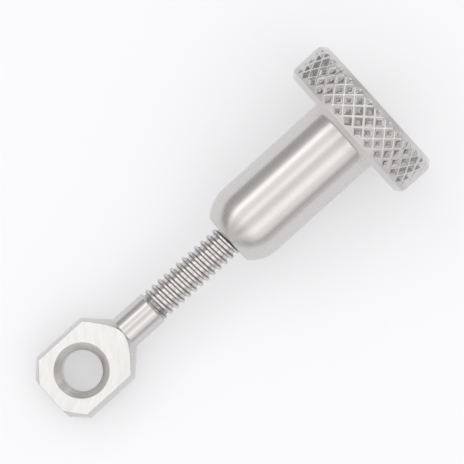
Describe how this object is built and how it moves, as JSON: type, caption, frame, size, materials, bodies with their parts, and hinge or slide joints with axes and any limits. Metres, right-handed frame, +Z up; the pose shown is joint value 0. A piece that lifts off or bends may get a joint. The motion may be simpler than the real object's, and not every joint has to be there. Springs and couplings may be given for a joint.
{
  "type": "thumb screw",
  "caption": "Swing eye bolt with a knurled thumb nut: a flat eye with a countersunk pivot bore, a threaded shank, and a long round-nosed nut that clamps along it.",
  "frame": {"origin": "centre of the bounding box at the surface that the part lies on", "axes": "+Z up, +X from the eye towards the knurled head as seen from above; the turned axis lies in the XZ plane and rises 8.97 degrees towards the head"},
  "size_m": [0.0434, 0.0158, 0.0162],
  "materials": {
    "eye_bolt": "turned stainless steel, flats end-milled",
    "thumb_nut": "fine turned stainless steel, head rim diamond knurled"
  },
  "bodies": {
    "bolt": {"eye_bolt": "eye_bolt"},
    "nut": {"thumb_nut": "thumb_nut"}
  },
  "joints": [
    {"name": "nut_travel", "type": "slide", "parent": "bolt", "child": "nut", "axis": [0.9878, 0, 0.1559], "range_m": [-0.0099, 0.006]}
  ]
}
